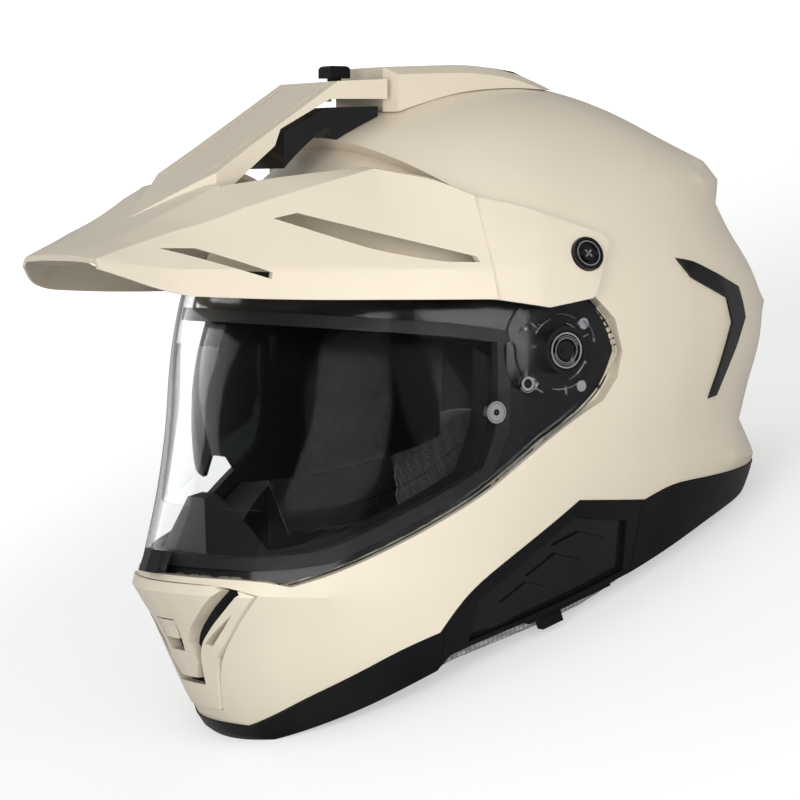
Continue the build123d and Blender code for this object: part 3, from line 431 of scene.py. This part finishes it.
def softBlock(name, node, look):
    # a padded piece from its CAD solid: even mesh, rounded, drawn in a little, then swollen
    piece = cadCopy(name, node)
    remesh = piece.modifiers.new("remesh", "REMESH")
    remesh.mode = "VOXEL"
    remesh.voxel_size = look["voxel"]
    baked(piece)
    mesh = bmesh.new()
    mesh.from_mesh(piece.data)
    for step in range(look["rounds"]):
        relaxed(mesh, mesh.verts)
    mesh.normal_update()
    for vertex in mesh.verts:
        vertex.co -= vertex.normal * look["drawIn"]
    mesh.to_mesh(piece.data)
    mesh.free()
    if look["pressure"]:
        start = [vertex.co.copy() for vertex in piece.data.vertices]
        cloth = piece.modifiers.new("cloth", "CLOTH")
        cloth.settings.use_pressure = True
        cloth.settings.uniform_pressure_force = look["pressure"]
        cloth.settings.effector_weights.gravity = 0
        cloth.settings.quality = swell["quality"]
        cloth.point_cache.frame_start = 1
        cloth.point_cache.frame_end = swell["frames"]
        for step in range(1, swell["frames"] + 1):
            scene.frame_set(step)
        baked(piece)
        for vertex, rest in zip(piece.data.vertices, start):
            move = vertex.co - rest
            if move.length > look["cap"]:
                vertex.co = rest + move * (look["cap"] / move.length)
        scene.frame_set(1)
    return piece


# linings and pads, each from the space its CAD solid holds
linings = {
    "crownPad": {"node": "crown_pad", "voxel": 0.0035, "rounds": 3, "drawIn": 0.0012,
                 "pressure": 4.0, "cap": 0.0016, "fill": 0.5},
    "cheekPadLeft": {"node": "cheek_pad_left", "voxel": 0.003, "rounds": 5, "drawIn": 0.002,
                     "pressure": 4.0, "cap": 0.0024, "fill": 0.7},
    "cheekPadRight": {"node": "cheek_pad_right", "voxel": 0.003, "rounds": 5, "drawIn": 0.002,
                      "pressure": 4.0, "cap": 0.0024, "fill": 0.7},
    "neckRoll": {"node": "neck_roll", "voxel": 0.004, "rounds": 4, "drawIn": 0.0015,
                 "pressure": 4.0, "cap": 0.0016, "fill": 0.6},
    "chinCurtain": {"node": "chin_curtain", "voxel": 0.0007, "rounds": 2, "drawIn": 0.0,
                    "pressure": 0, "cap": 0.0, "fill": 0.3},
}
for name, look in linings.items():
    pad = softBlock(name, look["node"], look)
    finished(pad, "lining", "shell", look["node"])
print("linings made")

# the piping swells under the rim's side and hangs a little below it
pipingLook = {"voxel": 0.0009, "rounds": 3, "drawIn": -0.0008, "pressure": 0, "fill": 0.8,
              "hang": 0.0034, "hangFrom": 60.0, "hangOver": 30.0}
piping = softBlock("neckPiping", "neck_piping", pipingLook)
plumb = turnWorn(Vector((0, 0, -pipingLook["hang"])))
for vertex in piping.data.vertices:
    along = toWorn(vertex.co)[0]
    share = (pipingLook["hangFrom"] - along) / pipingLook["hangOver"]
    vertex.co += plumb * min(1.0, max(0.0, share))
finished(piping, "piping_grey", "shell", "neck_piping")
print("piping made")


# rings, ridges and bars turned about a pin's axis, on both sides of the helmet
def reachOf(node, centre, direction):
    return max((vertex.co - centre).dot(direction) for vertex in nodes[node].data.vertices)


def rounded(piece, width):
    bevel = piece.modifiers.new("edge", "BEVEL")
    bevel.width = width
    bevel.segments = 2
    bevel.limit_method = "ANGLE"


arcStep, spinWeld = 8, 0.00001  # degrees of arc per face, and metres within which its ends meet


def turned(name, look, side):
    lean = radians(look["lean"])
    centre = fromWorn(look["centre"][0] * side, look["centre"][1], look["centre"][2])
    direction = turnWorn(Vector((side * cos(lean), 0, sin(lean))))
    base = reachOf(look["on"][side], centre, direction)
    mesh = bmesh.new()
    for inner, outer, start, end, high, low in look["ridges"]:
        foot, top = base + low / perMetre, base + high / perMetre
        near, far = inner / perMetre, outer / perMetre
        first = radians(start)
        spots = [mesh.verts.new((x, r * cos(first), r * sin(first)))
                 for x, r in ((foot, near), (top, near), (top, far), (foot, far))]
        profile = mesh.faces.new(spots)
        whole = end - start >= 360
        steps = max(3, int((end - start) / arcStep))
        bmesh.ops.spin(mesh, geom=[profile, *profile.edges, *profile.verts], cent=(0, 0, 0),
                       axis=(1, 0, 0), angle=radians(end - start), steps=steps, use_merge=whole)
        if whole:
            mesh.faces.remove(profile)
    bmesh.ops.remove_doubles(mesh, verts=mesh.verts, dist=spinWeld)
    for length, width, angle, high, low in look["bars"]:
        made = bmesh.ops.create_cube(mesh, size=1.0)
        turnBar = Matrix.Rotation(radians(angle), 4, "X")
        sizeBar = Matrix.Diagonal(
            ((high - low) / perMetre, length / perMetre, width / perMetre, 1))
        shift = Matrix.Translation((base + (high + low) / 2 / perMetre, 0, 0))
        bmesh.ops.transform(mesh, matrix=shift @ turnBar @ sizeBar, verts=made["verts"])
    level = Matrix.Rotation(-lean, 4, "Y")
    mirror = Matrix.Diagonal((side, 1, 1, 1))
    stand = Matrix.Rotation(-radians(worn["lean"]), 4, "X")
    bmesh.ops.transform(mesh, matrix=Matrix.Translation(centre) @ stand @ mirror @ level,
                        verts=mesh.verts)
    bmesh.ops.recalc_face_normals(mesh, faces=mesh.faces)
    piece = meshPiece(name, mesh)
    finished(piece, look["slot"], look["body"][side])
    for face in piece.data.polygons:
        face.use_smooth = False
    rounded(piece, look["edge"] / perMetre)
    return piece


onShell = {1: "shell", -1: "shell"}
onShield = {1: "shield", -1: "shield"}
pivotDetails = {
    # painted glints: the relief's thin steel ridges and bars are bright lines that stand for the
    # shine on the gear's gloss black plastic
    "pivotRelief": {
        "centre": (0, 0, 0), "lean": 0.0, "slot": "steel", "edge": 0.06, "body": onShell,
        "on": {1: "pivot_base_left", -1: "pivot_base_right"}, "bars": [],
        # inner and outer radius, start and end angle, top and foot over the base
        "ridges": [(12.6, 12.9, 30, 75, 0.9, -3), (14.6, 14.8, -70, -20, 0.8, -3),
                   (15.2, 15.4, 110, 150, 0.8, -3), (16.6, 16.8, 60, 96, 0.8, -3),
                   (18.2, 18.5, -100, -60, 0.7, -4), (19.4, 19.6, 10, 44, 0.7, -4),
                   (21.4, 21.7, -150, -115, 0.5, -4), (22.2, 22.4, 70, 84, 0.5, -4),
                   (14.0, 17.2, 24, 25, 0.7, -3), (15.0, 18.2, 50, 51, 0.7, -3),
                   (14.0, 16.2, -24, -23, 0.7, -3), (17.0, 21.0, -80, -79, 0.6, -3),
                   (19.0, 23.0, -128, -127, 0.5, -4), (19.0, 23.0, -133, -132, 0.5, -4),
                   (19.0, 23.0, -138, -137, 0.5, -4), (16.0, 20.0, 140, 141, 0.5, -3),
                   (20.5, 21.5, 150, 154, 0.5, -4), (13.0, 14.0, 170, 174, 0.8, -3)]},
    "pivotHub": {
        "centre": (0, 0, 0), "lean": 0.0, "slot": "gloss_black", "edge": 0.1, "body": onShell,
        "on": {1: "pivot_cap_left", -1: "pivot_cap_right"}, "bars": [],
        "ridges": [(0.3, 4.2, 0, 360, -0.9, -1.6), (9.4, 11.2, 0, 360, 0.1, -1.4),
                   (0.3, 2.2, 0, 360, -0.4, -1.6)]},
    # partly painted glints: the steel rings stand for the cap's pale ring, and their thin arcs are
    # bright lines for its glints
    "pivotRing": {
        "centre": (0, 0, 0), "lean": 0.0, "slot": "steel", "edge": 0.1, "body": onShell,
        "on": {1: "pivot_cap_left", -1: "pivot_cap_right"}, "bars": [],
        "ridges": [(7.6, 8.4, 0, 360, 0.25, -0.5), (5.6, 6.0, 0, 360, 0.15, -0.5),
                   (6.6, 6.9, 20, 130, 0.15, -0.3), (6.6, 6.9, 190, 290, 0.15, -0.3)]},
    "guidePinRing": {
        "centre": (0, -20, -15), "lean": 0.0, "slot": "steel", "edge": 0.06, "body": onShield,
        "bars": [], "on": {1: "shield_guide_pins", -1: "shield_guide_pins"},
        "ridges": [(2.2, 3.3, 0, 360, 0.15, -0.4), (3.9, 4.2, 200, 330, 0.12, -0.4)]},
    "guidePinHub": {
        "centre": (0, -20, -15), "lean": 0.0, "slot": "gloss_black", "edge": 0.05, "body": onShield,
        "bars": [], "on": {1: "shield_guide_pins", -1: "shield_guide_pins"},
        "ridges": [(0.2, 2.2, 0, 360, 0.05, -0.4)]},
    "antiFogPinHub": {
        "centre": (0, -35, -28), "lean": 0.0, "slot": "gloss_black", "edge": 0.05, "body": onShield,
        "bars": [], "on": {1: "anti_fog_pins", -1: "anti_fog_pins"},
        "ridges": [(0.2, 1.5, 0, 360, 0.10, -0.3), (4.1, 4.3, 0, 360, 0.06, -0.3)]},
    "peakScrewRing": {
        "centre": (119.2, 14, 43), "lean": 19.0, "slot": "steel", "edge": 0.08,
        "body": {1: "peak_screw_left", -1: "peak_screw_right"},
        "on": {1: "peak_screw_left", -1: "peak_screw_right"},
        "bars": [(4.6, 0.9, 45, 0.06, -0.6), (4.6, 0.9, 135, 0.06, -0.6)],
        "ridges": [(5.6, 6.2, 0, 360, 0.10, -0.6)]},
}
for name, look in pivotDetails.items():
    for side, end in ((1, "Left"), (-1, "Right")):
        turned(name + end, look, side)
print("pivot details made")

# chin straps: webbing laid along the CAD strap's line, the left one looped round the rings
straps = {
    "width": 23.2, "wall": 1.7, "edge": 0.5, "middle": 12.0, "across": 10, "along": 60,
    "slack": 0.0001,
    "chinStrapLeft": {"side": 1, "node": "chin_strap_left", "line": [
        (82.5, -72), (82, -82), (80.5, -91), (71, -100), (60, -107.5), (47, -111), (38, -112),
        (32, -112.2), (29.8, -115.5), (30.2, -119), (34, -120.9), (38, -119.5), (41, -117)]},
    "chinStrapRight": {"side": -1, "node": "chin_strap_right", "line": [
        (82.5, -72), (82, -82), (80.5, -91), (71, -100), (60, -107.5), (47, -111), (34, -113)]},
}


def webbingStrap(name, look):
    mesh = bmesh.new()
    bmesh.ops.create_grid(mesh, x_segments=straps["along"], y_segments=straps["across"], size=0.5)
    line = [Vector((x, z)) for x, z in look["line"]]
    lengths = [0.0]
    for near, far in zip(line, line[1:]):
        lengths.append(lengths[-1] + (far - near).length)
    for vertex in mesh.verts:
        run = (vertex.co.x + 0.5) * lengths[-1]
        part = max(index for index, length in enumerate(lengths[:-1])
                   if length <= run + straps["slack"])
        share = (run - lengths[part]) / (lengths[part + 1] - lengths[part])
        spot = line[part].lerp(line[part + 1], min(1.0, share))
        vertex.co = fromWorn(spot.x * look["side"],
                             straps["middle"] + vertex.co.y * straps["width"], spot.y)
    relaxed(mesh, [vertex for vertex in mesh.verts if not vertex.is_boundary])
    bmesh.ops.recalc_face_normals(mesh, faces=mesh.faces)
    piece = meshPiece(name, mesh)
    finished(piece, "lining", "shell", look["node"])
    wall = piece.modifiers.new("wall", "SOLIDIFY")
    wall.thickness = straps["wall"] / perMetre
    wall.offset = 0
    rounded(piece, straps["edge"] / perMetre)
    return piece


for name in ("chinStrapLeft", "chinStrapRight"):
    webbingStrap(name, straps[name])
print("straps made")

# studio: white floor and world for the camera, soft lamps
studio = {
    "floorTone": 0.50, "floorLift": 0.48, "floorFar": 1.0, "farFrom": 0.35, "farTo": 1.5,
    "floorSize": 12.0, "world": 0.46,
    "lamps": [
        {"name": "keyLamp", "place": (0.9, -1.4, 0.75), "size": 1.1, "power": 16.0},
        {"name": "fillLamp", "place": (1.75, -0.1, 0.6), "size": 1.3, "power": 23.0},
        {"name": "topLamp", "place": (-0.2, 0.6, 1.9), "size": 1.0, "power": 4.0},
        {"name": "rimLamp", "place": (-1.5, -0.4, 0.7), "size": 1.0, "power": 10.0},
    ],
}


def mathNode(tree, operation, *sources):
    node = tree.nodes.new("ShaderNodeMath")
    node.operation = operation
    for index, source in enumerate(sources):
        if isinstance(source, float):
            node.inputs[index].default_value = source
        else:
            tree.links.new(source, node.inputs[index])
    return node.outputs[0]


def seenStraight(tree):
    # 1 for the camera's rays, also through the clear shield, and 0 once they have bounced
    path = tree.nodes.new("ShaderNodeLightPath")
    bounces = mathNode(tree, "ADD", path.outputs["Diffuse Depth"], path.outputs["Glossy Depth"])
    straight = mathNode(tree, "LESS_THAN", bounces, 0.5)
    through = mathNode(tree, "MULTIPLY", path.outputs["Is Transmission Ray"], straight)
    return mathNode(tree, "MAXIMUM", path.outputs["Is Camera Ray"], through)


floorMesh = bmesh.new()
bmesh.ops.create_grid(floorMesh, x_segments=1, y_segments=1, size=studio["floorSize"])
floorData = bpy.data.meshes.new("studioFloor")
floorMesh.to_mesh(floorData)
floorMesh.free()
floorObject = bpy.data.objects.new("studioFloor", floorData)
scene.collection.objects.link(floorObject)
floorMaterial = bpy.data.materials.new("studioWhite")
floorMaterial.use_nodes = True
tree = floorMaterial.node_tree
tree.nodes.clear()
output = tree.nodes.new("ShaderNodeOutputMaterial")
diffuse = tree.nodes.new("ShaderNodeBsdfDiffuse")
diffuse.inputs["Color"].default_value = (studio["floorTone"],) * 3 + (1,)
glow = tree.nodes.new("ShaderNodeEmission")
coords = tree.nodes.new("ShaderNodeTexCoord")
away = tree.nodes.new("ShaderNodeVectorMath")
away.operation = "LENGTH"
lift = tree.nodes.new("ShaderNodeMapRange")  # the floor fades to white away from the helmet
lift.inputs["From Min"].default_value = studio["farFrom"]
lift.inputs["From Max"].default_value = studio["farTo"]
lift.inputs["To Min"].default_value = studio["floorLift"]
lift.inputs["To Max"].default_value = studio["floorFar"]
tree.links.new(coords.outputs["Object"], away.inputs[0])
tree.links.new(away.outputs["Value"], lift.inputs["Value"])
tree.links.new(lift.outputs["Result"], glow.inputs["Strength"])
lifted = tree.nodes.new("ShaderNodeAddShader")
tree.links.new(diffuse.outputs[0], lifted.inputs[0])
tree.links.new(glow.outputs[0], lifted.inputs[1])
pick = tree.nodes.new("ShaderNodeMixShader")
tree.links.new(seenStraight(tree), pick.inputs[0])
tree.links.new(diffuse.outputs[0], pick.inputs[1])
tree.links.new(lifted.outputs[0], pick.inputs[2])
tree.links.new(pick.outputs[0], output.inputs["Surface"])
floorData.materials.append(floorMaterial)

world = bpy.data.worlds.new("studioWorld")
scene.world = world
world.use_nodes = True
tree = world.node_tree
tree.nodes.clear()
output = tree.nodes.new("ShaderNodeOutputWorld")
lit = tree.nodes.new("ShaderNodeBackground")
lit.inputs["Strength"].default_value = studio["world"]
white = tree.nodes.new("ShaderNodeBackground")
white.inputs["Color"].default_value = (1, 1, 1, 1)
white.inputs["Strength"].default_value = 1.0
pick = tree.nodes.new("ShaderNodeMixShader")
tree.links.new(seenStraight(tree), pick.inputs[0])
tree.links.new(lit.outputs[0], pick.inputs[1])
tree.links.new(white.outputs[0], pick.inputs[2])
tree.links.new(pick.outputs[0], output.inputs["Surface"])

middle = (cadBox[0] + cadBox[1]) / 2
for lamp in studio["lamps"]:
    data = bpy.data.lights.new(lamp["name"], "AREA")
    data.size = lamp["size"]
    data.energy = lamp["power"]
    light = bpy.data.objects.new(lamp["name"], data)
    light.visible_glossy = False  # no lamp's square shows in the shield or the trims
    scene.collection.objects.link(light)
    light.location = Vector(lamp["place"]) + Vector((middle.x, middle.y, 0))
    aim = middle - light.location
    light.rotation_euler = aim.to_track_quat("-Z", "Y").to_euler()
scene.view_settings.view_transform = "Standard"
print("studio lit")
